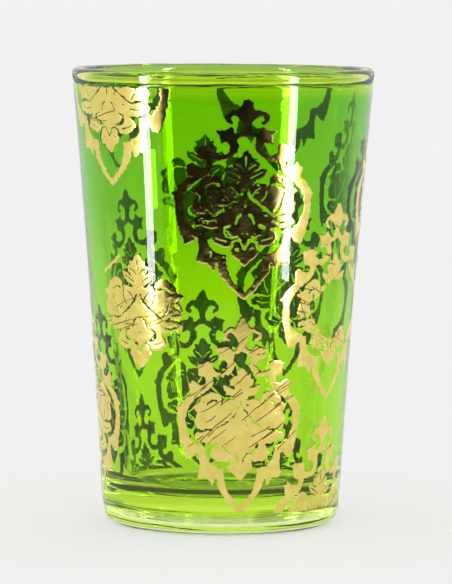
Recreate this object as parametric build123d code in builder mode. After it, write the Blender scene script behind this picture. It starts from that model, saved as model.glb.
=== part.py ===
from build123d import *
import math
import os

os.makedirs("parts", exist_ok=True)

# Moroccan tea glass: a clear pressed tumbler, a green colour coat on its outer wall,
# and gold foil medallions laid on the coat in a half-drop pattern.
# Lengths in mm, angles in degrees. +Z is up, the table is z = 0, the axis is x = y = 0.
# The front of the glass faces -Y, and column angles run from the front towards +X.

# Tumbler
glass_height = 90.0
rim_radius = 29.7
lip_radius = 1.2
lip_overhang = 0.1
foot_radius = 23.2
wall_hollow = 0.42
heel_radius = 3.2
inner_floor_radius = 18.8
floor_height = 7.0
floor_corner_radius = 5.0
push_up_radius = 14.0
push_up_height = 1.3

# Colour coat. The clearance keeps each skin clear of what it is laid on.
skin_clearance = 0.02
coat_thickness = 0.06
coat_bottom = 4.3
coat_neck_margin = 0.95

# Gold foil. The medallions are drawn flat, in mm, for a wall of the drawing radius.
foil_thickness = 0.06
foil_bottom_margin = 0.3
foil_top_margin = 0.95
drawing_radius = 27.56
row_height = 24.0
row_pitch = 41.75
drop_shift = 0.4
vein_width = 0.3
strip_width = 0.6

# Where the rounded lip meets the wall
lip_centre_radius = rim_radius - lip_radius
lip_centre_height = glass_height - lip_radius
neck_height = lip_centre_height - lip_overhang
neck_half_width = math.sqrt(lip_radius**2 - lip_overhang**2)
neck_radius = lip_centre_radius + neck_half_width
inner_neck_radius = lip_centre_radius - neck_half_width

# The outer wall is one long arc that hollows inwards, with its centre far outside
wall_rise = neck_height
wall_run = neck_radius - foot_radius
wall_chord = math.hypot(wall_rise, wall_run)
wall_arc_radius = (wall_chord**2 / 4 + wall_hollow**2) / (2 * wall_hollow)
wall_arc_reach = wall_arc_radius - wall_hollow
wall_arc_x = (foot_radius + neck_radius) / 2 + wall_arc_reach * wall_rise / wall_chord
wall_arc_z = neck_height / 2 - wall_arc_reach * wall_run / wall_chord


def wall_radius(height, lift=0.0):
    """Radius of the outer wall at a height, or of a skin lying that far outside it."""
    arc_radius = wall_arc_radius - lift
    return wall_arc_x - math.sqrt(arc_radius**2 - (height - wall_arc_z) ** 2)


def skin_profile(bottom, top, inner_lift, outer_lift):
    """Half section of a thin skin on the wall, between two heights and two lifts."""
    middle = (bottom + top) / 2
    inner_low = (wall_radius(bottom, inner_lift), bottom)
    inner_middle = (wall_radius(middle, inner_lift), middle)
    inner_high = (wall_radius(top, inner_lift), top)
    outer_low = (wall_radius(bottom, outer_lift), bottom)
    outer_middle = (wall_radius(middle, outer_lift), middle)
    outer_high = (wall_radius(top, outer_lift), top)
    with BuildLine() as outline:
        Spline(inner_low, inner_middle, inner_high)
        Line(inner_high, outer_high)
        Spline(outer_high, outer_middle, outer_low)
        Line(outer_low, inner_low)
    return outline.line


# Clear glass tumbler, turned from its half section
push_up_sphere = (push_up_radius**2 + push_up_height**2) / (2 * push_up_height)
push_up_sphere_centre = push_up_height - push_up_sphere
push_up_middle = push_up_radius / 2
push_up_middle_height = push_up_sphere_centre + math.sqrt(push_up_sphere**2 - push_up_middle**2)
push_up_top = (0, push_up_height)
push_up_flank = (push_up_middle, push_up_middle_height)
push_up_edge = (push_up_radius, 0)
foot_point = (foot_radius, 0)
wall_point = (wall_radius(neck_height / 2), neck_height / 2)
neck_point = (neck_radius, neck_height)
rim_point = (lip_centre_radius, glass_height)
inner_neck_point = (inner_neck_radius, neck_height)
floor_point = (inner_floor_radius, floor_height)
floor_centre = (0, floor_height)
with BuildPart() as glass_body:
    with BuildSketch(Plane.XZ) as glass_section:
        with BuildLine():
            ThreePointArc(push_up_top, push_up_flank, push_up_edge)
            Line(push_up_edge, foot_point)
            Spline(foot_point, wall_point, neck_point)
            ThreePointArc(neck_point, rim_point, inner_neck_point)
            Line(inner_neck_point, floor_point)
            Line(floor_point, floor_centre)
            Line(floor_centre, push_up_top)
        make_face()
        heel_corner = glass_section.vertices().sort_by_distance(Vector(*foot_point))[0]
        fillet(heel_corner, heel_radius)
        floor_corner = glass_section.vertices().sort_by_distance(Vector(*floor_point))[0]
        fillet(floor_corner, floor_corner_radius)
    revolve(axis=Axis.Z)
glass_body.part.label = "glass_body"
export_step(glass_body.part, "parts/glass_body.step")

# Green colour coat on the outer wall, from above the heel to just under the lip
coat_top = neck_height - coat_neck_margin
coat_outside = skin_clearance + coat_thickness
with BuildPart() as colour_coat:
    with BuildSketch(Plane.XZ):
        add(skin_profile(coat_bottom, coat_top, skin_clearance, coat_outside))
        make_face()
    revolve(axis=Axis.Z)
colour_coat.part.label = "colour_coat"
export_step(colour_coat.part, "parts/colour_coat.step")

# Thin skin outside the coat: each piece of foil is cut from it
foil_bottom = coat_bottom + foil_bottom_margin
foil_top = coat_top - foil_top_margin
foil_inside = coat_outside + skin_clearance
foil_outside = foil_inside + foil_thickness
past_the_rim = 2 * rim_radius
with BuildPart() as foil_skin:
    with BuildSketch(Plane.XZ):
        add(skin_profile(coat_bottom, coat_top, foil_inside, foil_outside))
        make_face()
    revolve(axis=Axis.Z)

# Left half of the medallion frame, as strokes of (across, up) points from the centre.
# An "arc" bends through every second point and a "line" runs straight between its points.
frame_outside = [
    ("arc", [(0, 19.4), (-0.8, 18.5), (-1.5, 17.1)]),
    ("arc", [(-1.5, 17.1), (-2.9, 16.9), (-4.05, 15.7), (-3.7, 14.7), (-2.6, 14.45)]),
    ("line", [(-2.6, 14.45), (-2.6, 15.0)]),
    ("arc", [(-2.6, 15.0), (-3.15, 15.55), (-2.5, 16.05), (-1.35, 15.4), (-0.75, 14.0)]),
    ("arc", [(-0.75, 14.0), (-1.1, 13.05), (-2.0, 12.7)]),
    ("line", [(-2.0, 12.7), (-2.55, 13.3)]),
    ("line", [(-2.55, 13.3), (-2.9, 13.9), (-4.0, 13.25), (-5.7, 13.1)]),
    ("line", [(-5.7, 13.1), (-4.95, 12.2), (-5.05, 10.7), (-4.0, 10.9)]),
    ("arc", [(-4.0, 10.9), (-3.05, 9.9), (-3.7, 8.85), (-5.0, 8.5), (-6.15, 9.3)]),
    ("line", [(-6.15, 9.3), (-5.7, 10.1), (-6.5, 10.6), (-9.4, 10.1), (-9.05, 7.6), (-7.7, 7.45)]),
    ("arc", [(-7.7, 7.45), (-8.2, 6.05), (-9.55, 6.5)]),
    ("line", [(-9.55, 6.5), (-10.2, 7.0), (-11.35, 6.2), (-11.0, 4.1)]),
    ("arc", [(-11.0, 4.1), (-12.5, 3.0), (-13.7, 1.5)]),
    ("line", [(-13.7, 1.5), (-14.5, 1.0), (-13.85, 0.4)]),
    ("arc", [(-13.85, 0.4), (-13.55, -3.8), (-12.05, -8.5)]),
    ("line", [(-12.05, -8.5), (-11.2, -8.6), (-10.3, -8.1), (-10.0, -7.5), (-9.3, -7.5), (-9.1, -9.5)]),
    ("line", [(-9.1, -9.5), (-9.6, -12.3), (-7.3, -12.4), (-6.2, -14.0)]),
    ("line", [(-6.2, -14.0), (-5.75, -12.4), (-5.35, -12.4), (-5.2, -14.0)]),
    ("arc", [(-5.2, -14.0), (-3.2, -16.5), (0, -19.4)]),
]
frame_inside = [
    ("line", [(0, 12.35), (-1.75, 11.6), (-1.9, 11.1), (-1.4, 10.0)]),
    ("arc", [(-1.4, 10.0), (-3.0, 7.9), (-6.0, 7.6)]),
    ("arc", [(-6.0, 7.6), (-6.6, 5.5), (-8.4, 4.1)]),
    ("line", [(-8.4, 4.1), (-10.2, 2.9)]),
    ("arc", [(-10.2, 2.9), (-11.9, 0.4), (-12.0, -2.6), (-10.4, -5.3), (-7.5, -6.2)]),
    ("arc", [(-7.5, -6.2), (-6.9, -9.2), (-3.6, -10.5)]),
    ("arc", [(-3.6, -10.5), (-3.0, -14.5), (0, -17.9)]),
]

# Left half of the bouquet inside the frame, and the bare veins inside its leaves
bouquet_outside = [
    ("arc", [(0, 9.4), (-0.75, 8.8), (-1.05, 7.95)]),
    ("line", [(-1.05, 7.95), (-2.2, 8.1), (-1.75, 7.3), (-2.7, 6.8), (-2.35, 6.0)]),
    ("line", [(-2.35, 6.0), (-0.6, 4.6), (-2.4, 5.6), (-4.1, 5.95)]),
    ("arc", [(-4.1, 5.95), (-3.6, 4.8), (-2.2, 3.75)]),
    ("line", [(-2.2, 3.75), (-0.7, 3.0), (-2.4, 3.2), (-4.05, 3.1), (-4.1, 1.5), (-4.4, 2.7)]),
    ("arc", [(-4.4, 2.7), (-4.8, 4.2), (-6.3, 4.65), (-8.2, 3.8), (-9.0, 2.5)]),
    ("line", [(-9.0, 2.5), (-10.6, 1.7), (-9.5, 0.4)]),
    ("arc", [(-9.5, 0.4), (-10.2, -1.2), (-9.5, -2.9)]),
    ("line", [(-9.5, -2.9), (-7.4, -2.7), (-5.2, -2.9), (-7.4, -3.1), (-9.4, -3.4)]),
    ("arc", [(-9.4, -3.4), (-10.1, -4.1), (-8.8, -5.0), (-6.8, -5.7), (-4.5, -5.1)]),
    ("arc", [(-4.5, -5.1), (-5.8, -6.2), (-6.7, -7.7)]),
    ("arc", [(-6.7, -7.7), (-4.9, -9.0), (-2.75, -9.0)]),
    ("line", [(-2.75, -9.0), (-2.0, -8.3), (-2.35, -9.3), (-2.85, -9.9)]),
    ("line", [(-2.85, -9.9), (-2.3, -11.0), (-1.5, -11.6), (0, -13.0)]),
]
bouquet_veins = [
    [(-0.35, 1.7), (-1.9, -0.4), (-4.4, -2.2)],
    [(-5.0, 2.8), (-6.3, 2.75), (-7.6, 2.0)],
    [(-4.0, -5.6), (-3.3, -6.7), (-2.2, -7.4)],
    [(-1.5, -7.7), (-0.7, -8.4), (-0.4, -9.3)],
]
centre_vein = [(0, 3.1), (0, 2.1)]

# Bare place worn into one bouquet, and the strip left over from one lost frame
worn_patch = [
    (-6.3, 0.6),
    (-3.4, 2.1),
    (-1.2, 3.9),
    (3.4, 4.3),
    (8.6, 6.0),
    (12.0, 0.6),
    (11.0, -5.0),
    (7.6, -6.6),
    (4.8, -5.0),
    (1.2, -7.0),
    (-2.4, -6.6),
    (-4.9, -4.2),
]
frame_strip = [(-10.3, 5.5), (-7.6, 7.0), (-4.7, 9.1)]

# Rows of medallions: two in the main columns, three in the columns that drop half a pitch
lower_row = row_height
upper_row = row_height + row_pitch
middle_row = row_height + row_pitch / 2 + drop_shift
bottom_row = middle_row - row_pitch
top_row = middle_row + row_pitch


def on_wall(height, points):
    """Points of a flat drawing set on the upright plane, so that they wrap true to angle."""
    placed = []
    for across, up in points:
        placed.append((wall_radius(height + up) * math.sin(across / drawing_radius), up))
    return placed


def half_outline(height, strokes):
    """One closed outline from the strokes of its left half, mirrored at the centre line."""
    with BuildLine() as outline:
        for kind, points in strokes:
            placed = on_wall(height, points)
            if kind == "line":
                Polyline(*placed)
            else:
                for start in range(0, len(placed) - 2, 2):
                    ThreePointArc(*placed[start : start + 3])
        mirror(about=Plane.YZ)
    return outline.line


def tangent_plane(height):
    """Upright plane on the axis that looks out of the front of the glass."""
    return Plane(origin=(0, 0, height), x_dir=(1, 0, 0), z_dir=(0, -1, 0))


def trim_to_foil(height):
    """Cut the medallion being drawn off at the ends of the stretch of wall that takes foil."""
    with Locations((0, (foil_bottom + foil_top) / 2 - height)):
        Rectangle(2 * past_the_rim, foil_top - foil_bottom, mode=Mode.INTERSECT)


def foil_frame(height):
    """Foil of a medallion frame at the front of the glass, at one height."""
    with BuildPart() as frame:
        with BuildSketch(tangent_plane(height)):
            with BuildLine():
                add(half_outline(height, frame_outside))
            make_face()
            with BuildLine():
                add(half_outline(height, frame_inside))
            make_face(mode=Mode.SUBTRACT)
            trim_to_foil(height)
        extrude(amount=past_the_rim)
        add(foil_skin.part, mode=Mode.INTERSECT)
    return frame.part


def foil_bouquet(height, worn):
    """Foil of a bouquet at the front of the glass, at one height, with its veins left bare."""
    with BuildPart() as bouquet:
        with BuildSketch(tangent_plane(height)):
            with BuildLine():
                add(half_outline(height, bouquet_outside))
            make_face()
            with BuildLine() as veins:
                for vein in bouquet_veins:
                    ThreePointArc(*on_wall(height, vein))
                mirror(about=Plane.YZ)
                Line(*on_wall(height, centre_vein))
            trace(veins.line, line_width=vein_width, mode=Mode.SUBTRACT)
            if worn:
                with BuildLine():
                    Spline(*on_wall(height, worn_patch), periodic=True)
                make_face(mode=Mode.SUBTRACT)
            trim_to_foil(height)
        extrude(amount=past_the_rim)
        add(foil_skin.part, mode=Mode.INTERSECT)
    return bouquet.part


def foil_strip(height):
    """Narrow strip of foil left over from a lost frame."""
    with BuildPart() as strip:
        with BuildSketch(tangent_plane(height)):
            with BuildLine() as strip_line:
                ThreePointArc(*on_wall(height, frame_strip))
            trace(strip_line.line, line_width=strip_width)
        extrude(amount=past_the_rim)
        add(foil_skin.part, mode=Mode.INTERSECT)
    return strip.part


def place_foil(name, foil, column):
    """Turn a piece of foil from the front to its column and write it out under its name."""
    with BuildPart() as piece:
        with Locations(Rotation(0, 0, column)):
            add(foil)
    piece.part.label = name
    export_step(piece.part, "parts/" + name + ".step")


# Foil pieces by place: name of the medallion, column angle, row
framed_medallions = [
    ("front_upper", 9.2, upper_row),
    ("front_lower", 8.9, lower_row),
    ("right_upper", 99.5, upper_row),
    ("back_lower", 190.0, lower_row),
    ("left_lower", -82.0, lower_row),
    ("front_right_middle", 55.0, middle_row),
    ("front_right_bottom", 54.5, bottom_row),
    ("back_right_middle", 144.0, middle_row),
    ("back_right_bottom", 144.0, bottom_row),
    ("back_left_top", 234.0, top_row),
    ("back_left_middle", 232.0, middle_row),
    ("back_left_bottom", 232.0, bottom_row),
    ("front_left_top", -49.2, top_row),
]
empty_frames = [
    ("back_right_top", 154.5, top_row),
]
front_left_column = -37.8
unframed_medallions = [
    ("back_upper", 188.0, upper_row),
    ("front_left_middle", front_left_column, middle_row),
]
worn_medallions = ["front_right_middle"]

frame_of_row = {}
bouquet_of_row = {}
for row in [lower_row, upper_row, bottom_row, middle_row, top_row]:
    frame_of_row[row] = foil_frame(row)
    bouquet_of_row[row] = foil_bouquet(row, worn=False)

for place, column, row in framed_medallions + empty_frames:
    place_foil(place + "_frame", frame_of_row[row], column)

for place, column, row in framed_medallions + unframed_medallions:
    if place in worn_medallions:
        place_foil(place + "_bouquet", foil_bouquet(row, worn=True), column)
    else:
        place_foil(place + "_bouquet", bouquet_of_row[row], column)

place_foil("front_left_middle_frame_strip", foil_strip(middle_row), front_left_column)
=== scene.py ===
import bpy
import math
import numpy as np
from mathutils import Matrix, Vector


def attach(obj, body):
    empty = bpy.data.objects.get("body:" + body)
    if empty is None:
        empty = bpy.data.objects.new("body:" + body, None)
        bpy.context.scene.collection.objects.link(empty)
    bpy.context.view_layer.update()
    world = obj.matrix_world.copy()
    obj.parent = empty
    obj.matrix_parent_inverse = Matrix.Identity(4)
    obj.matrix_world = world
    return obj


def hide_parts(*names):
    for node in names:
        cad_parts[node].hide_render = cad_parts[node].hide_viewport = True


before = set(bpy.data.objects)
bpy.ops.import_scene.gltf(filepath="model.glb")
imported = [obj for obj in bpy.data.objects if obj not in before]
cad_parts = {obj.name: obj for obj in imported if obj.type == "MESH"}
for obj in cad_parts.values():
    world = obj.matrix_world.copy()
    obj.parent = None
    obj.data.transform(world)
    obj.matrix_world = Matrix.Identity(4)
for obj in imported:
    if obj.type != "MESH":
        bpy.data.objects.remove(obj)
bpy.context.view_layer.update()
scene = bpy.context.scene

MM = 0.001

# Tumbler, in mm. The front of the glass faces -Y, and angles run from the front towards +X.
glass_height = 90.0
rim_radius = 29.7
rim_outer_round = 1.15
rim_inner_round = 1.25
rim_inner_end = 184
rim_width = 2.4
foot_radius = 23.2
wall_top = 88.7
wall_top_radius = 29.696
wall_hollow = 0.42
heel_radius = 3.2
inner_neck_radius = 27.304
inner_neck_drop = 0.8
inner_floor_radius = 18.8
floor_height = 7.0
floor_corner_radius = 5.0
push_up_radius = 14.0
push_up_height = 1.3
pole_radius = 0.5

# Colour coat, in mm: its two faces off the wall, its edges and their waves, and the dark line at its top edge
coat_inside = 0.02
coat_outside = 0.08
coat_bottom = 4.3
coat_top = 87.75
coat_low_wave = 0.25
coat_high_wave = 0.22
coat_lip_gap = 0.35
edge_line_width = 0.24
edge_line_fade = 0.12

# Painted shade: dark patches round the lower edge of the coat, laid out like runs of lacquer, as (azimuth,
# spread, height)
painted_shade_patches = [(-70, 22, 4.6), (21, 6, 3.9), (78, 15, 4.4)]
shade_patch_height = 1.1

# Gold foil, in mm: its faces off the wall, and the rows of medallions
foil_under = 0.095
foil_edge = 0.12
foil_swell = 0.02
foil_middle = 0.13
drawing_radius = 27.56
row_height = 24.0
row_pitch = 41.75
drop_shift = 0.4
row_of = {
    "lower": row_height,
    "upper": row_height + row_pitch,
    "middle": row_height + row_pitch / 2 + drop_shift,
    "bottom": row_height - row_pitch / 2 + drop_shift,
    "top": row_height + 1.5 * row_pitch + drop_shift,
}

# Wear of the foil, in mm
crack_width = 0.17
crack_points = 5
crack_stray = 0.16
tear = 0.42
tear_blur = 0.09
swell_blur = 0.12

# Grid of a piece of foil: size of a cell, fine rows in a cell, and empty cells round the outline
cell = 0.15
fine = 3
empty_cells = 6

# Grids of the tumbler and the coat: steps round the axis, and rings along each stretch of the section
around = 400
push_up_rings = 14
heel_rings = 24
wall_rings = 80
rim_out_rings = 16
rim_in_rings = 20
inner_wall_rings = 44
corner_rings = 24
inner_floor_rings = 12
under_coat_rings = 26
under_coat_gap = 0.4
coat_rings_up = 90
lip_rings = 22
misted_rings = 14

# The outer wall is one long arc that hollows inwards, with its centre far outside
wall_run = wall_top_radius - foot_radius
wall_chord = math.hypot(wall_top, wall_run)
wall_arc_radius = (wall_chord**2 / 4 + wall_hollow**2) / (2 * wall_hollow)
wall_arc_reach = wall_arc_radius - wall_hollow
wall_arc_x = (foot_radius + wall_top_radius) / 2 + wall_arc_reach * wall_top / wall_chord
wall_arc_z = wall_top / 2 - wall_arc_reach * wall_run / wall_chord


def wall_radius(z, lift=0.0):
    """Radius of the outer wall at height z, or of a skin lifted off it: the arc's centre less its reach."""
    return wall_arc_x - np.sqrt((wall_arc_radius - lift) ** 2 - (z - wall_arc_z) ** 2)


def arc(centre_r, centre_z, radius, start, end, count):
    """Points of a half section at even steps of angle, in degrees, round a circle."""
    t = np.radians(np.linspace(start, end, count))
    return np.column_stack([centre_r + radius * np.cos(t), centre_z + radius * np.sin(t)])


def as_piece(mesh):
    """Object of a finished mesh, fixed to the glass."""
    piece = bpy.data.objects.new(mesh.name, mesh)
    scene.collection.objects.link(piece)
    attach(piece, "root")
    return piece


def grid_mesh(name, points, wrap_rows, poles):
    """Mesh of a grid of points (ring, step, xyz) in mm, whose steps close round the axis.
    Quad (i, j) joins rings i and i + 1. Rings may close too, and each pole closes the first or last ring."""
    rings, steps = points.shape[:2]
    i = np.arange(rings if wrap_rows else rings - 1)[:, None]
    j = np.arange(steps)[None, :]
    up = (i + 1) % rings * steps
    right = (j + 1) % steps
    quads = np.stack([i * steps + j, i * steps + right, up + right, up + j], axis=-1)
    faces = quads.reshape(-1, 4).tolist()
    cloud = points.reshape(-1, 3)
    j = np.arange(steps)
    right = (j + 1) % steps
    for ring, height in poles:
        tip = len(cloud)
        cloud = np.vstack([cloud, [[0, 0, height]]])
        first = ring % rings * steps
        order = [np.full(steps, tip), first + right, first + j]
        if ring:
            order = [np.full(steps, tip), first + j, first + right]
        faces += np.column_stack(order).tolist()
    mesh = bpy.data.meshes.new(name)
    mesh.from_pydata((cloud * MM).tolist(), [], faces)
    mesh.update()
    mesh.shade_smooth()
    return as_piece(mesh)


def paint_rings(piece, ring_material):
    """Material number of every quad of a grid mesh, by its ring; pole faces keep material 0."""
    index = np.zeros(len(piece.data.polygons), np.int32)
    quads = np.repeat(np.asarray(ring_material, np.int32), around)
    index[:len(quads)] = quads
    piece.data.polygons.foreach_set("material_index", index)


def add_attribute(mesh, name, values):
    """Value at every point of a mesh, for its material to read."""
    layer = mesh.attributes.new(name, "FLOAT", "POINT")
    layer.data.foreach_set("value", values.astype(np.float32))


def lattice(u, v, seed):
    """Smooth noise from 0 to 1 at points (u, v): random values on whole numbers, eased between them."""
    table = np.random.RandomState(seed).rand(64, 64)
    u0 = np.floor(u).astype(int)
    v0 = np.floor(v).astype(int)
    a = u - u0
    b = v - v0
    a = a * a * (3 - 2 * a)
    b = b * b * (3 - 2 * b)
    low = table[u0 % 64, v0 % 64] * (1 - a) + table[(u0 + 1) % 64, v0 % 64] * a
    high = table[u0 % 64, (v0 + 1) % 64] * (1 - a) + table[(u0 + 1) % 64, (v0 + 1) % 64] * a
    return low * (1 - b) + high * b


# Materials. The faint mirror takes down the shine of clear skins, on the Specular Tint socket.
white = (1, 1, 1, 1)
faint_mirror = (0.45, 0.45, 0.45, 1)
glass_index = 1.5


def new_material(name):
    material = bpy.data.materials.new(name)
    material.use_nodes = True
    nodes = material.node_tree.nodes
    return material, nodes, material.node_tree.links, nodes["Principled BSDF"]


def make_glassy(shader):
    """Smooth surface that light goes through, bent as by glass."""
    shader.inputs["Roughness"].default_value = 0.0
    shader.inputs["IOR"].default_value = glass_index
    shader.inputs["Transmission Weight"].default_value = 1.0


def noise_on_object(nodes, links, scale, detail, stretch=(1, 1, 1)):
    """Noise over Object coordinates, stretched along the axes; scale is waves in a metre."""
    place = nodes.new("ShaderNodeTexCoord")
    mapping = nodes.new("ShaderNodeMapping")
    mapping.inputs["Scale"].default_value = stretch
    noise = nodes.new("ShaderNodeTexNoise")
    noise.inputs["Scale"].default_value = scale
    noise.inputs["Detail"].default_value = detail
    links.new(place.outputs["Object"], mapping.inputs["Vector"])
    links.new(mapping.outputs["Vector"], noise.inputs["Vector"])
    return noise.outputs["Fac"]


def attribute(nodes, name):
    """Value that a mesh holds at its points."""
    node = nodes.new("ShaderNodeAttribute")
    node.attribute_name = name
    return node.outputs["Fac"]


def ramp(nodes, links, source, stops):
    """Colour ramp of (place, colour) stops over a value."""
    band = nodes.new("ShaderNodeValToRGB")
    while len(band.color_ramp.elements) < len(stops):
        band.color_ramp.elements.new(0.5)
    for element, (place, colour) in zip(band.color_ramp.elements, stops):
        element.position = place
        element.color = colour
    links.new(source, band.inputs["Fac"])
    return band.outputs["Color"]


def over_height(nodes, links, stops):
    """Colour ramp of (height in mm, colour) stops up the glass."""
    place = nodes.new("ShaderNodeTexCoord")
    split = nodes.new("ShaderNodeSeparateXYZ")
    links.new(place.outputs["Object"], split.inputs["Vector"])
    height = nodes.new("ShaderNodeMath")
    height.operation = "DIVIDE"
    height.inputs[1].default_value = glass_height * MM
    links.new(split.outputs["Z"], height.inputs[0])
    return ramp(nodes, links, height.outputs["Value"], [(z / glass_height, colour) for z, colour in stops])


def times(nodes, links, first, second):
    """Product of two colours."""
    shade = nodes.new("ShaderNodeMix")
    shade.data_type = "RGBA"
    shade.blend_type = "MULTIPLY"
    shade.inputs["Factor"].default_value = 1.0
    links.new(first, shade.inputs["A"])
    links.new(second, shade.inputs["B"])
    return shade.outputs["Result"]


def bump(nodes, links, source, height, shader):
    """Shallow relief from a value, height in metres."""
    relief = nodes.new("ShaderNodeBump")
    relief.inputs["Strength"].default_value = 1.0
    relief.inputs["Distance"].default_value = height
    links.new(source, relief.inputs["Height"])
    links.new(relief.outputs["Normal"], shader.inputs["Normal"])


def with_painted_shade(nodes, links, colour):
    """Colour darkened by painted shade in the patches that the run attribute holds."""
    painted_dark = ramp(nodes, links, attribute(nodes, "run"), [(0.15, white), (0.85, (0.05, 0.08, 0.04, 1))])
    return times(nodes, links, colour, painted_dark)


def clear_glass():
    """Glass with faint upright cords in it."""
    material, nodes, links, shader = new_material("clear_glass")
    make_glassy(shader)
    cords = noise_on_object(nodes, links, 90.0, 1.0, (1, 1, 0.35))
    tint = ramp(nodes, links, cords, [
        (0.3, (0.95, 0.985, 0.95, 1)),
        (0.7, (0.985, 1, 0.985, 1)),
    ])
    links.new(tint, shader.inputs["Base Color"])
    bump(nodes, links, cords, 0.00004, shader)
    return material


def passing(name):
    """Where two skins touch, light goes straight through."""
    material, nodes, links, shader = new_material(name)
    shader.inputs["Alpha"].default_value = 0.0
    return material


def misted_glass():
    """Glass at the lip and the heel, where the edge of the sprayed coat thins out."""
    material, nodes, links, shader = new_material("misted_glass")
    make_glassy(shader)
    shader.inputs["Specular Tint"].default_value = faint_mirror
    mist = over_height(nodes, links, [
        (0.0, (0.99, 0.99, 0.95, 1)),
        (1.4, (0.95, 0.98, 0.80, 1)),
        (2.8, (0.78, 0.94, 0.34, 1)),
        (4.4, (0.52, 0.88, 0.03, 1)),
        (87.0, (0.97, 0.99, 0.42, 1)),
        (90.0, (0.93, 0.97, 0.28, 1)),
    ])
    clouds = noise_on_object(nodes, links, 300.0, 2.0, (1, 1, 2.5))
    patchy = ramp(nodes, links, clouds, [(0.3, (0.86, 0.90, 0.80, 1)), (0.6, white)])
    shade = times(nodes, links, mist, patchy)
    # Painted shade: dark patches near the heel, shaped like runs of lacquer
    links.new(with_painted_shade(nodes, links, shade), shader.inputs["Base Color"])
    return material


def green_lacquer():
    """Clear green lacquer, deeper towards the top, with a dark line along its top edge."""
    material, nodes, links, shader = new_material("green_lacquer")
    make_glassy(shader)
    shader.inputs["Specular Tint"].default_value = faint_mirror
    colour = over_height(nodes, links, [
        (4.0, (0.46, 0.86, 0.008, 1)),
        (38.0, (0.38, 0.82, 0.003, 1)),
        (62.0, (0.19, 0.60, 0.002, 1)),
        (84.5, (0.16, 0.56, 0.002, 1)),
        (86.2, (0.42, 0.75, 0.005, 1)),
        (88.0, (0.44, 0.76, 0.006, 1)),
        (88.7, (0.11, 0.36, 0.02, 1)),
    ])
    clouds = noise_on_object(nodes, links, 60.0, 2.0, (1, 1, 0.3))
    patchy = ramp(nodes, links, clouds, [(0.3, (0.88, 0.94, 0.9, 1)), (0.65, white)])
    shade = times(nodes, links, colour, patchy)
    line = ramp(nodes, links, attribute(nodes, "edge_line"), [(0.0, white), (1.0, (0.05, 0.10, 0.02, 1))])
    shade = times(nodes, links, shade, line)
    # Painted shade: dark patches near the lower edge of the coat, shaped like runs of lacquer
    links.new(with_painted_shade(nodes, links, shade), shader.inputs["Base Color"])
    return material


def gold_foil():
    """Bright gold leaf, patchy in colour and shine, dark brown along its cracks, with a fine grain."""
    material, nodes, links, shader = new_material("gold_foil")
    shader.inputs["Metallic"].default_value = 1.0
    patches = noise_on_object(nodes, links, 500.0, 3.0)
    colour = ramp(nodes, links, patches, [
        (0.3, (0.77, 0.62, 0.14, 1)),
        (0.7, (0.89, 0.75, 0.22, 1)),
    ])
    crack_dark = ramp(nodes, links, attribute(nodes, "crack"), [(0.15, white), (0.75, (0.16, 0.09, 0.05, 1))])
    links.new(times(nodes, links, colour, crack_dark), shader.inputs["Base Color"])
    dull = ramp(nodes, links, patches, [
        (0.3, (0.08, 0.08, 0.08, 1)),
        (0.7, (0.16, 0.16, 0.16, 1)),
    ])
    links.new(dull, shader.inputs["Roughness"])
    grain = noise_on_object(nodes, links, 4000.0, 2.0)
    bump(nodes, links, grain, 0.000004, shader)
    return material


def foil_underside():
    """Size that the foil was laid on, seen through the glass as a dark brown."""
    material, nodes, links, shader = new_material("foil_underside")
    patches = noise_on_object(nodes, links, 700.0, 3.0)
    colour = ramp(nodes, links, patches, [
        (0.3, (0.10, 0.06, 0.025, 1)),
        (0.7, (0.20, 0.13, 0.05, 1)),
    ])
    links.new(colour, shader.inputs["Base Color"])
    shader.inputs["Roughness"].default_value = 0.5
    return material


glass_stuff = clear_glass()
bonded_stuff = passing("bonded_glass")
mist_stuff = misted_glass()
lacquer_stuff = green_lacquer()
under_stuff = passing("lacquer_underside")
foil_stuff = gold_foil()
foil_back_stuff = foil_underside()

# Outer half section of the tumbler, from the middle of the push-up round the heel to the crest of the rim
push_up_sphere = (push_up_radius**2 + push_up_height**2) / (2 * push_up_height)
r = np.linspace(pole_radius, push_up_radius, push_up_rings)
push_up = np.column_stack([r, push_up_height - push_up_sphere + np.sqrt(push_up_sphere**2 - r**2)])
heel_r = float(wall_radius(heel_radius, -heel_radius))
heel_end = math.degrees(math.atan2(wall_arc_z - heel_radius, wall_arc_x - heel_r))
heel = arc(heel_r, heel_radius, heel_radius, -90, heel_end, heel_rings)
z = np.linspace(heel[-1, 1], wall_top, wall_rings)[1:]
wall = np.column_stack([wall_radius(z), z])
rim_out_r = rim_radius - rim_outer_round
rim_out = arc(rim_out_r, glass_height - rim_outer_round, rim_outer_round, 0, 90, rim_out_rings)
outer_section = np.vstack([push_up, heel, wall, rim_out])

# Inner half section, from the crest of the rim down the wall to the middle of the floor
rim_in_r = rim_radius - rim_width + rim_inner_round
rim_in = arc(rim_in_r, glass_height - rim_inner_round, rim_inner_round, 90, rim_inner_end, rim_in_rings)
slope = math.atan2(inner_neck_radius - inner_floor_radius, wall_top - floor_height)
corner_r = inner_floor_radius - floor_corner_radius * math.tan((math.pi / 2 - slope) / 2)
corner_z = floor_height + floor_corner_radius
corner = arc(corner_r, corner_z, floor_corner_radius, -math.degrees(slope), -90, corner_rings)
inner_neck = np.array([inner_neck_radius, wall_top - inner_neck_drop])
t = np.linspace(0, 1, inner_wall_rings)[:-1, None]
inner_wall = inner_neck + (corner[0] - inner_neck) * t
r = np.linspace(corner[-1, 0], pole_radius, inner_floor_rings)[1:]
inner_floor = np.column_stack([r, np.full(len(r), floor_height)])
inner_section = np.vstack([rim_in, inner_wall, corner, inner_floor])

angle = np.linspace(0, 2 * np.pi, around, endpoint=False)
front = np.cos(angle)
length = np.concatenate([[0], np.cumsum(np.hypot(*np.diff(outer_section, axis=0).T))])
crest = length[-1]


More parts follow.
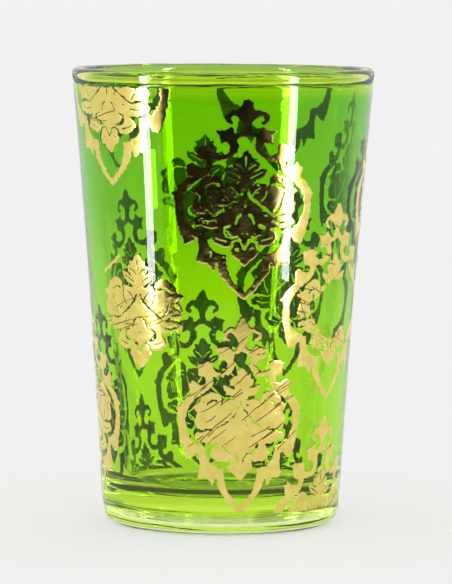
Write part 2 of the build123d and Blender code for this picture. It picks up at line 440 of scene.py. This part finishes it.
def length_at(height):
    """Length along the outer section at a height on the heel or the wall."""
    return np.interp(height, outer_section[push_up_rings:, 1], length[push_up_rings:])


def round_the_glass(waves, seed):
    """Smooth noise about 0, with so many waves round the glass."""
    return lattice(angle * waves / (2 * np.pi), angle * 0, seed) - 0.5


def on_outside(s, lift=0.0):
    """Points of the outer section at lengths s (ring, step), moved out along its normal by lift."""
    r = np.interp(s, length, outer_section[:, 0])
    z = np.interp(s, length, outer_section[:, 1])
    ahead = np.minimum(s + 0.05, crest)
    behind = np.maximum(s - 0.05, 0)
    dr = np.interp(ahead, length, outer_section[:, 0]) - np.interp(behind, length, outer_section[:, 0])
    dz = np.interp(ahead, length, outer_section[:, 1]) - np.interp(behind, length, outer_section[:, 1])
    size = np.hypot(dr, dz)
    r = r + lift * dz / size
    z = z - lift * dr / size
    return np.stack([r * np.sin(angle), -r * np.cos(angle), z], axis=-1)


def spread(low, high, count):
    """Lengths at even steps from low to high at every angle."""
    t = np.linspace(0, 1, count)[:, None]
    return low + (high - low) * t


def add_painted_shade(piece, points):
    """Attribute of painted shade at the points of a grid: a patchy bell of darkness round each patch."""
    run = np.zeros(points.shape[:2])
    for azimuth, wide, height in painted_shade_patches:
        away = (np.degrees(angle) - azimuth + 180) % 360 - 180
        run += np.exp(-((away / wide) ** 2) - ((points[..., 2] - height) / shade_patch_height) ** 2)
    run *= 0.5 + lattice(angle * 50 / (2 * np.pi), points[..., 2] / 0.6, 8)
    values = np.zeros(len(piece.data.vertices))
    values[:run.size] = run.ravel()
    add_attribute(piece.data, "run", values)


# Edges of the coat round the glass. Its top edge rises over the lip from the sides to the back.
rise = np.clip((0.30 - front) / 0.45, 0, 1)
rise = rise * rise * (3 - 2 * rise)
wave = round_the_glass(40, 3) + 0.6 * round_the_glass(13, 4)
coat_high = length_at(coat_top) + coat_high_wave * wave + rise * (crest - length_at(coat_top) - coat_lip_gap)
coat_low = length_at(coat_bottom) + coat_low_wave * round_the_glass(20, 5)

# Tumbler: its rings follow the edges of the coat, so that each zone has its own glass
coat_rings = spread(coat_low, coat_high, coat_rings_up)
high_rings = spread(coat_high, np.full(around, crest), lip_rings)
heel_edge = length[push_up_rings - 1]
heel_lengths = np.linspace(heel_edge, length_at(coat_bottom) - under_coat_gap, under_coat_rings)
heel_lengths = np.unique(np.concatenate([length[:push_up_rings], heel_lengths]))
low_rings = np.vstack([np.repeat(heel_lengths[:, None], around, axis=1), coat_low])
outer_points = on_outside(np.vstack([low_rings, coat_rings[1:], high_rings[1:]]))
inner_points = np.stack([
    inner_section[:, :1] * np.sin(angle),
    -inner_section[:, :1] * np.cos(angle),
    np.repeat(inner_section[:, 1:], around, axis=1)], axis=-1)
points = np.concatenate([outer_points, inner_points[1:]])
tumbler = grid_mesh("tumbler", points, False, [(0, push_up_height), (-1, floor_height)])
ring_material = np.zeros(len(points) - 1)
coat_start = len(low_rings) - 1
coat_end = coat_start + len(coat_rings) - 1
ring_material[coat_start - misted_rings:coat_end + len(high_rings) + len(rim_in)] = 2
ring_material[coat_start:coat_end] = 1
tumbler.data.materials.append(glass_stuff)
tumbler.data.materials.append(bonded_stuff)
tumbler.data.materials.append(mist_stuff)
paint_rings(tumbler, ring_material)
# Painted shade patches on the tumbler near the lower edge of the coat
add_painted_shade(tumbler, points)
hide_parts("glass_body")

# Coat: a thin closed skin, whose dark top line is full at the front and faint at the back
coat_outer = on_outside(coat_rings, coat_outside)
coat_inner = on_outside(coat_rings[::-1], coat_inside)
coat_points = np.concatenate([coat_outer, coat_inner])
coat = grid_mesh("green_coat", coat_points, True, [])
ring_material = np.zeros(len(coat_points))
ring_material[len(coat_rings):-1] = 1
coat.data.materials.append(lacquer_stuff)
coat.data.materials.append(under_stuff)
paint_rings(coat, ring_material)
line = np.clip((edge_line_width - coat_high + coat_rings) / edge_line_fade, 0, 1)
line = line * np.clip((front - 0.25) / 0.3, 0.2, 1)
add_attribute(coat.data, "edge_line", np.concatenate([line, line[::-1]]).ravel())
# Painted shade patches on the coat near its lower edge
add_painted_shade(coat, coat_points)
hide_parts("colour_coat")

# Bare veins between the leaves of a bouquet, as (width, points), in mm from its centre.
# The right half mirrors them.
leaf_veins = [
    (0.34, [(-0.35, 1.7), (-1.0, 0.3), (-2.6, -0.9), (-4.6, -2.4)]),
    (0.30, [(-4.6, -2.5), (-6.0, -3.2), (-7.6, -3.0)]),
    (0.34, [(-0.9, -3.1), (-1.4, -3.5), (-1.8, -4.7)]),
    (0.40, [(-2.9, -5.2), (-3.9, -5.6), (-4.0, -6.5), (-3.5, -7.2)]),
    (0.24, [(-3.5, -7.2), (-2.4, -7.5), (-1.4, -7.3)]),
    (0.34, [(-2.6, -9.4), (-2.4, -8.4), (-1.6, -7.9), (-0.8, -8.1), (-0.1, -9.6)]),
    (0.28, [(-1.7, -9.7), (-1.3, -9.9)]),
    (0.28, [(0.0, -0.3), (0.0, -1.5)]),
    (0.30, [(-7.4, 2.3), (-6.3, 2.9), (-5.0, 2.7)]),
    (0.30, [(-7.6, 1.3), (-7.2, 0.2), (-6.9, -1.0), (-6.0, -2.4)]),
    (0.26, [(-4.2, 1.6), (-4.0, 0.6), (-3.2, -0.4)]),
    (0.22, [(-2.9, 2.2), (-2.0, 1.6), (-1.3, 0.6)]),
    (0.22, [(-9.4, 1.0), (-8.6, 0.4), (-8.6, -0.8)]),
    (0.24, [(-8.8, -4.2), (-7.2, -4.6), (-5.6, -4.3)]),
    (0.22, [(-5.6, -7.6), (-4.8, -7.9), (-3.6, -8.2)]),
    (0.22, [(0.0, 8.2), (0.0, 6.4)]),
    (0.22, [(-1.9, 6.6), (-1.0, 6.2), (-0.3, 5.4)]),
    (0.22, [(-3.2, 5.2), (-2.0, 4.6), (-0.9, 4.0)]),
]


class Wear:
    """How one medallion has worn: its veins, cracks and their slant, pinholes and wrinkles."""

    def __init__(self, veins=0.9, cracks=8, slant=8.0, holes=0.25, wrinkle=0.008):
        self.veins = veins
        self.cracks = cracks
        self.slant = slant
        self.holes = holes
        self.wrinkle = wrinkle


wear_of = {
    "front_upper": Wear(veins=1.5, cracks=0, slant=4.0, holes=0.5, wrinkle=0.006),
    "front_lower": Wear(veins=0.0, cracks=46, slant=32.0, holes=0.3, wrinkle=0.004),
    "front_left_top": Wear(veins=1.0, cracks=8, slant=10.0, holes=0.15, wrinkle=0.005),
    "front_left_middle": Wear(veins=1.0, cracks=20, slant=14.0, holes=0.3, wrinkle=0.014),
    "front_right_middle": Wear(veins=0.8, cracks=20, slant=-20.0, holes=0.5, wrinkle=0.008),
    "front_right_bottom": Wear(veins=0.9, cracks=16, slant=30.0, holes=0.5, wrinkle=0.006),
}


def skin_outline(node):
    """Column angle of a foil node, and the edges of its outer skin as (across, height) pairs in mm.
    Outer triangles have all corners past the middle of the foil, and an edge that an odd number of them
    have is outline."""
    mesh = node.data
    cloud = np.empty(len(mesh.vertices) * 3)
    mesh.vertices.foreach_get("co", cloud)
    cloud = cloud.reshape(-1, 3) / MM
    corners = np.empty(len(mesh.loops), np.int64)
    mesh.loops.foreach_get("vertex_index", corners)
    corners = corners.reshape(-1, 3)
    turn = np.arctan2(cloud[:, 0], -cloud[:, 1])
    column = math.atan2(np.sin(turn).mean(), np.cos(turn).mean())
    across = (np.mod(turn - column + np.pi, 2 * np.pi) - np.pi) * drawing_radius
    flat = np.column_stack([across, cloud[:, 2]])
    proud = np.hypot(cloud[:, 0], cloud[:, 1]) - wall_radius(cloud[:, 2]) > foil_middle
    outer = corners[proud[corners].all(axis=1)]
    spots, place = np.unique(np.round(flat * 1000).astype(np.int64), axis=0, return_inverse=True)
    outer = place.reshape(-1)[outer]
    edges = np.sort(np.concatenate([outer[:, [0, 1]], outer[:, [1, 2]], outer[:, [2, 0]]]), axis=1)
    edges, count = np.unique(edges, axis=0, return_counts=True)
    edges = edges[count % 2 == 1]
    return column, spots[edges[:, 0]] / 1000, spots[edges[:, 1]] / 1000


def filled(a, b, left, low, columns, rows):
    """Share of each grid cell inside an outline: on every fine row each edge flips the fill to its right."""
    step = cell / fine
    first = np.ceil((np.minimum(a[:, 1], b[:, 1]) - low) / step - 0.5).astype(int)
    last = np.ceil((np.maximum(a[:, 1], b[:, 1]) - low) / step - 0.5).astype(int)
    count = last - first
    edge = np.repeat(np.arange(len(a)), count)
    row = np.arange(count.sum()) - np.repeat(np.cumsum(count) - count, count) + first[edge]
    height = low + (row + 0.5) * step
    part = (height - a[edge, 1]) / (b[edge, 1] - a[edge, 1])
    x = a[edge, 0] + (b[edge, 0] - a[edge, 0]) * part
    column = np.clip(np.ceil((x - left) / step - 0.5).astype(int), 0, columns * fine)
    flips = np.zeros((rows * fine, columns * fine + 1), int)
    np.add.at(flips, (row, column), 1)
    inside = np.cumsum(flips, axis=1)[:, :-1] % 2
    return inside.reshape(rows, fine, columns, fine).mean(axis=(1, 3))


def blurred(values, radius):
    """Gaussian blur of a grid by a radius in mm, by the product of the two spectra."""
    rows, columns = values.shape
    fy = np.fft.fftfreq(rows)[:, None]
    fx = np.fft.rfftfreq(columns)[None, :]
    fall = np.exp(-2 * (np.pi * radius / cell) ** 2 * (fx**2 + fy**2))
    return np.fft.irfft2(np.fft.rfft2(values) * fall, s=values.shape)


def sampled(values, places):
    """Values of a grid at (column, row) places, in proportion between the four grid points round each."""
    rows, columns = values.shape
    corner = np.minimum(places.astype(int), [columns - 2, rows - 2])
    column, row = corner.T
    across, along = (places - corner).T
    low = values[row, column] * (1 - across) + values[row, column + 1] * across
    high = values[row + 1, column] * (1 - across) + values[row + 1, column + 1] * across
    return low * (1 - along) + high * along


def from_stroke(x, y, points):
    """Distance in mm of grid points from a polyline: the least of its distances from each straight piece."""
    points = np.asarray(points, float)
    a = points[:-1]
    run = points[1:] - a
    t = ((x[..., None] - a[:, 0]) * run[:, 0] + (y[..., None] - a[:, 1]) * run[:, 1]) / (run**2).sum(axis=1)
    t = np.clip(t, 0, 1)
    dx = x[..., None] - a[:, 0] - t * run[:, 0]
    dy = y[..., None] - a[:, 1] - t * run[:, 1]
    return np.sqrt(dx * dx + dy * dy).min(axis=-1)


# Faces of a grid cell by which of its corners are on the foil. Corners are 0 to 3, counter-clockwise from
# the lower left, and 4 to 7 are the cuts on the sides, from the bottom round.
cell_faces = {
    1: [(0, 4, 7)],
    2: [(1, 5, 4)],
    3: [(0, 1, 5, 7)],
    4: [(2, 6, 5)],
    5: [(0, 4, 7), (2, 6, 5)],
    6: [(1, 2, 6, 4)],
    7: [(0, 1, 2, 6, 7)],
    8: [(3, 7, 6)],
    9: [(0, 4, 6, 3)],
    10: [(1, 5, 4), (3, 7, 6)],
    11: [(0, 1, 5, 6, 3)],
    12: [(2, 3, 7, 5)],
    13: [(0, 4, 5, 2, 3)],
    14: [(1, 2, 3, 7, 4)],
    15: [(0, 1, 2, 3)],
}


def cut_sheet(field):
    """Part of a grid where a field is above zero, cut along its zero line between grid points.
    Gives the corners as (column, row) places and the faces, counter-clockwise, in groups of equal size."""
    rows, columns = field.shape
    inside = field > 0
    number = np.cumsum(inside).reshape(rows, columns) - 1
    total = int(inside.sum())
    row, column = np.nonzero(inside)
    places = [np.column_stack([column, row]).astype(float)]
    across = np.full((rows, columns), -1)
    row, column = np.nonzero(inside[:, 1:] != inside[:, :-1])
    part = np.clip(field[row, column] / (field[row, column] - field[row, column + 1]), 0.1, 0.9)
    across[row, column] = total + np.arange(len(row))
    places.append(np.column_stack([column + part, row]))
    total += len(row)
    along = np.full((rows, columns), -1)
    row, column = np.nonzero(inside[1:] != inside[:-1])
    part = np.clip(field[row, column] / (field[row, column] - field[row + 1, column]), 0.1, 0.9)
    along[row, column] = total + np.arange(len(row))
    places.append(np.column_stack([column, row + part]))
    kind = inside[:-1, :-1] + 2 * inside[:-1, 1:] + 4 * inside[1:, 1:] + 8 * inside[1:, :-1]
    groups = {3: [], 4: [], 5: []}
    for case, shapes in cell_faces.items():
        row, column = np.nonzero(kind == case)
        ring = [
            number[row, column],
            number[row, column + 1],
            number[row + 1, column + 1],
            number[row + 1, column],
            across[row, column],
            along[row, column + 1],
            across[row + 1, column],
            along[row, column],
        ]
        for shape in shapes:
            groups[len(shape)].append(np.column_stack([ring[k] for k in shape]))
    return np.vstack(places), [np.vstack(faces) for faces in groups.values() if len(faces)]


def edge_noise(x, y, seed, shift):
    """Noise about 0 in two sizes that roughens the edges of the foil."""
    coarse = lattice(x / 0.55 + shift, y / 0.55, seed)
    return coarse + 0.7 * lattice(x / 0.3 + shift, y / 0.3, seed + 1) - 0.85


def torn_cover(cover, ragged, uneven):
    """Cover of a grid with torn edges: read at places that two noises move, then blurred a little."""
    rows, columns = cover.shape
    across = np.arange(columns) + tear / cell * ragged
    along = np.arange(rows)[:, None] + tear / cell * uneven
    torn = np.clip(np.stack([across, along], axis=-1), 0, [columns - 1, rows - 1]).reshape(-1, 2)
    return blurred(sampled(cover, torn).reshape(rows, columns), tear_blur)


def cut_veins(field, x, y, centre, veins, ragged, seed):
    """Field cut by the bare veins of a bouquet, each as wide as the noise at that place leaves it."""
    faint = np.clip(lattice(x / 1.6, y / 1.6, seed + 2) + 0.35, 0, 1.2)
    for width, points in leaf_veins:
        for side in (1, -1):
            stroke = [(side * px, centre + py) for px, py in points]
            gap = from_stroke(x, y, stroke) - 0.5 * width * veins * faint
            field = np.minimum(field, gap + 0.05 * ragged)
    return field


def crack_darkening(x, y, centre, wear, chance, seed):
    """How deep each place lies in a crack, from 1 along its middle down to 0 at its sides.
    Cracks are short strokes at random places, near one slant, that stray a little from straight."""
    thin = np.clip(lattice(x / 1.3, y / 0.7, seed + 4) + 0.45, 0.3, 1.1)
    crack_dark = np.zeros(x.shape)
    for crack in range(wear.cracks):
        start = chance.uniform([-13, -8], [9, 18])
        reach = chance.uniform(2, 4) * chance.uniform(1, 3)
        tilt = math.radians(wear.slant + chance.uniform(-7, 7))
        along = np.linspace(0, reach, crack_points)
        stray = np.cumsum(chance.uniform(-crack_stray, crack_stray, crack_points))
        stroke = np.column_stack([
            start[0] + along * math.cos(tilt) - stray * math.sin(tilt),
            centre + start[1] + along * math.sin(tilt) + stray * math.cos(tilt)])
        crack_dark = np.maximum(crack_dark, 1 - from_stroke(x, y, stroke) / (crack_width * thin))
    return crack_dark


def foil_relief(x, y, field, wear, seed):
    """Height of the foil off the wall: it swells from its edges, with wrinkles along its slant."""
    s = math.sin(math.radians(wear.slant))
    c = math.cos(math.radians(wear.slant))
    u = x * c + y * s
    v = y * c - x * s
    swell = np.clip(2 * blurred((field > 0).astype(float), swell_blur) - 1, 0, 1)
    crease = lattice(u / 1.6, v / 0.5, seed + 8) + 0.5 * lattice(u / 0.7, v / 0.35, seed + 9) - 0.75
    return foil_edge + foil_swell * swell + wear.wrinkle * crease * swell


def on_wall(turn, z, lift):
    """Points at an angle and a height, lifted off the wall."""
    r = wall_radius(z) + lift
    return np.column_stack([r * np.sin(turn), -r * np.cos(turn), z])


def skin_mesh(name, top, under, groups):
    """Closed skin of two sheets with the same faces, and a band round each edge that only one face has."""
    n = len(top)
    sides = np.concatenate([
        np.stack([faces, np.roll(faces, -1, axis=1)], axis=-1).reshape(-1, 2) for faces in groups])
    key = np.sort(sides, axis=1)
    key = key[:, 0] * n + key[:, 1]
    unique, first, count = np.unique(key, return_index=True, return_counts=True)
    rim = sides[first[count == 1]]
    band = np.column_stack([rim[:, 1], rim[:, 0], rim[:, 0] + n, rim[:, 1] + n])
    faces = []
    for group in groups:
        faces += group.tolist()
    faces += band.tolist()
    outside = len(faces)
    for group in groups:
        faces += (group[:, ::-1] + n).tolist()
    mesh = bpy.data.meshes.new(name)
    mesh.from_pydata((np.vstack([top, under]) * MM).tolist(), [], faces)
    mesh.update()
    mesh.shade_smooth()
    ends = np.empty(len(mesh.edges) * 2, np.int64)
    mesh.edges.foreach_get("vertices", ends)
    ends = np.sort(ends.reshape(-1, 2), axis=1)
    border = np.sort(np.vstack([rim, rim + n]), axis=1)
    sharp = np.isin(ends[:, 0] * 2 * n + ends[:, 1], border[:, 0] * 2 * n + border[:, 1])
    mesh.attributes.new("sharp_edge", "BOOLEAN", "EDGE").data.foreach_set("value", sharp)
    mesh.materials.append(foil_stuff)
    mesh.materials.append(foil_back_stuff)
    mesh.polygons.foreach_set("material_index", (np.arange(len(faces)) >= outside).astype(np.int32))
    return mesh


def foil_piece(name, node, seed):
    """Thin gold skin in the outline of a foil node, worn and cracked.
    A field is above zero on the foil: it falls across the torn outline, and veins and pinholes cut it."""
    medallion, kind = name.replace("_frame_strip", "_strip").rsplit("_", 1)
    centre = row_of[medallion.rsplit("_", 1)[1]]
    wear = wear_of.get(medallion, Wear())
    column, a, b = skin_outline(node)
    both = np.vstack([a, b])
    left, low = both.min(axis=0) - empty_cells * cell
    columns, rows = np.ceil((both.max(axis=0) + empty_cells * cell - [left, low]) / cell).astype(int)
    x = left + (np.arange(columns) + 0.5) * cell + np.zeros((rows, 1))
    y = low + (np.arange(rows)[:, None] + 0.5) * cell + np.zeros((1, columns))
    ragged = edge_noise(x, y, seed, 0)
    uneven = edge_noise(x, y, seed, 31)
    cover = filled(a, b, left, low, columns, rows)
    field = (torn_cover(cover, ragged, uneven) - 0.5) * 0.25
    if kind == "bouquet" and wear.veins > 0:
        field = cut_veins(field, x, y, centre, wear.veins, ragged, seed)
    chance = np.random.RandomState(len(medallion) * 7 + ord(medallion[-1]) + ord(medallion[0]))
    crack_dark = crack_darkening(x, y, centre, wear, chance, seed)
    pin = lattice(x / 0.5, y / 0.5, seed + 6) * 0.7 + lattice(x / 1.9, y / 1.9, seed + 7) * 0.3
    field = np.minimum(field, (0.90 - 0.10 * wear.holes - pin) * 0.8)
    field[[0, -1]] = -1
    field[:, [0, -1]] = -1
    places, groups = cut_sheet(field)
    turn = column + (left + (places[:, 0] + 0.5) * cell) / drawing_radius
    z = low + (places[:, 1] + 0.5) * cell
    lift = sampled(foil_relief(x, y, field, wear, seed), places)
    mesh = skin_mesh(name + "_foil", on_wall(turn, z, lift), on_wall(turn, z, foil_under), groups)
    add_attribute(mesh, "crack", np.tile(np.clip(sampled(crack_dark, places), 0, 1), 2))
    piece = as_piece(mesh)
    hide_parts(name)


foils = sorted(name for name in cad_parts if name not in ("glass_body", "colour_coat"))
for number, name in enumerate(foils):
    foil_piece(name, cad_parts[name], 100 + 20 * number)

# Studio, in metres and degrees: white sheet on the table, dark room in front of it, sky and two strip lights
floor_reach = 60
dark_near = 0.185
dark_faded = 0.215
dark_far = 1.2
dark_high = 1.0
dark_left = -48
dark_right = 44
dark_steps = 32
over_floor = 0.002
sky_strength = 0.93
strip_distance = 0.25
strip_width = 0.030
strip_height = 0.35


def white_sheet():
    """Matt white sheet that the camera, and glass a little, also see as an even pale grey."""
    material, nodes, links, shader = new_material("white_sheet")
    shader.inputs["Base Color"].default_value = (0.94, 0.94, 0.94, 1)
    shader.inputs["Roughness"].default_value = 0.9
    shader.inputs["Specular IOR Level"].default_value = 0.0
    path = nodes.new("ShaderNodeLightPath")
    seen = nodes.new("ShaderNodeMath")
    seen.operation = "MULTIPLY"
    seen.inputs[1].default_value = 0.6
    links.new(path.outputs["Is Camera Ray"], seen.inputs[0])
    glow = nodes.new("ShaderNodeMath")
    glow.operation = "MULTIPLY_ADD"
    glow.inputs[1].default_value = 0.05
    links.new(path.outputs["Is Transmission Ray"], glow.inputs[0])
    links.new(seen.outputs["Value"], glow.inputs[2])
    shine = nodes.new("ShaderNodeEmission")
    shine.inputs["Color"].default_value = (0.885, 0.885, 0.885, 1)
    mixed = nodes.new("ShaderNodeMixShader")
    links.new(glow.outputs["Value"], mixed.inputs["Fac"])
    links.new(shader.outputs["BSDF"], mixed.inputs[1])
    links.new(shine.outputs["Emission"], mixed.inputs[2])
    links.new(mixed.outputs["Shader"], nodes["Material Output"].inputs["Surface"])
    return material


def dark_room():
    """Matt black that begins as pale as the sheet at its near edge."""
    material, nodes, links, shader = new_material("dark_room")
    place = nodes.new("ShaderNodeTexCoord")
    reach = nodes.new("ShaderNodeVectorMath")
    reach.operation = "LENGTH"
    links.new(place.outputs["Object"], reach.inputs[0])
    fade = ramp(nodes, links, reach.outputs["Value"], [
        (dark_near, (0.9, 0.9, 0.9, 1)),
        (dark_faded, (0.01, 0.01, 0.01, 1)),
    ])
    links.new(fade, shader.inputs["Base Color"])
    shader.inputs["Roughness"].default_value = 1.0
    shader.inputs["Specular IOR Level"].default_value = 0.0
    return material


def stage_piece(name, corners, faces, material):
    """Part of the studio, which isn't part of the glass."""
    mesh = bpy.data.meshes.new(name)
    mesh.from_pydata(corners, [], faces)
    mesh.materials.append(material)
    piece = bpy.data.objects.new(name, mesh)
    scene.collection.objects.link(piece)
    return piece


def open_front():
    """Dark open side of the studio: the table past the white sheet, and the room behind the camera.
    Each step of azimuth runs out over the table from near to far, then up. Only mirrors see it."""
    turn = np.radians(np.linspace(dark_left, dark_right, dark_steps + 1))
    radius = np.array([dark_near, dark_far, dark_far])[:, None]
    height = np.array([over_floor, over_floor, dark_high])[:, None]
    points = np.stack([radius * np.sin(turn), -radius * np.cos(turn), height + 0 * turn], axis=-1)
    row = dark_steps + 1
    i = np.arange(2)[:, None] * row
    j = np.arange(dark_steps)[None, :]
    faces = np.stack([i + j, i + j + 1, i + j + row + 1, i + j + row], axis=-1).reshape(-1, 4)
    side = stage_piece("dark_side", points.reshape(-1, 3).tolist(), faces.tolist(), dark_room())
    side.visible_camera = False
    side.visible_diffuse = False
    side.visible_transmission = False
    side.visible_shadow = False


def softbox(name, azimuth, power):
    """Upright strip light that looks at the axis; azimuth runs from the front towards +X."""
    lamp = bpy.data.lights.new(name, "AREA")
    lamp.shape = "RECTANGLE"
    lamp.size = strip_width
    lamp.size_y = strip_height
    lamp.energy = power
    box = bpy.data.objects.new(name, lamp)
    a = math.radians(azimuth)
    place = Vector((strip_distance * math.sin(a), -strip_distance * math.cos(a), strip_height / 2))
    turned = Matrix.Rotation(a, 4, "Z") @ Matrix.Rotation(math.pi / 2, 4, "X")
    box.matrix_world = Matrix.Translation(place) @ turned
    box.visible_camera = False
    box.visible_diffuse = False
    scene.collection.objects.link(box)


floor_corners = [
    (-floor_reach, -floor_reach, 0),
    (floor_reach, -floor_reach, 0),
    (floor_reach, floor_reach, 0),
    (-floor_reach, floor_reach, 0),
]
stage_piece("floor", floor_corners, [(0, 1, 2, 3)], white_sheet())
open_front()

world = bpy.data.worlds.new("studio")
scene.world = world
world.use_nodes = True
background = world.node_tree.nodes["Background"]
background.inputs["Color"].default_value = white
background.inputs["Strength"].default_value = sky_strength
world.cycles.sampling_method = "NONE"

softbox("left_strip", -59.6, 1.05)
softbox("right_strip", 53, 1.15)

# Camera, in metres and degrees: in front of the glass, looking down at it a little
camera_distance = 0.770
camera_height = 0.113
camera_lens = 240.4
camera_pan = -0.059
camera_dip = 5.0
camera_roll = 0.33
camera_data = bpy.data.cameras.new("camera")
camera_data.sensor_fit = "VERTICAL"
camera_data.sensor_height = 36.0
camera_data.lens = camera_lens
camera_data.clip_start = 0.01
camera = bpy.data.objects.new("camera", camera_data)
pan = Matrix.Rotation(math.radians(camera_pan), 4, "Z")
tilt = Matrix.Rotation(math.radians(90 - camera_dip), 4, "X")
roll = Matrix.Rotation(math.radians(camera_roll), 4, "Z")
camera.matrix_world = Matrix.Translation((0, -camera_distance, camera_height)) @ pan @ tilt @ roll
scene.collection.objects.link(camera)
scene.camera = camera

# Light goes on through glass and skins for many bounces, or the heel and the lip turn dark
scene.view_settings.view_transform = "Standard"
scene.cycles.max_bounces = 64
scene.cycles.transmission_bounces = 64
scene.cycles.glossy_bounces = 48
scene.cycles.transparent_max_bounces = 64

bpy.context.view_layer.update()
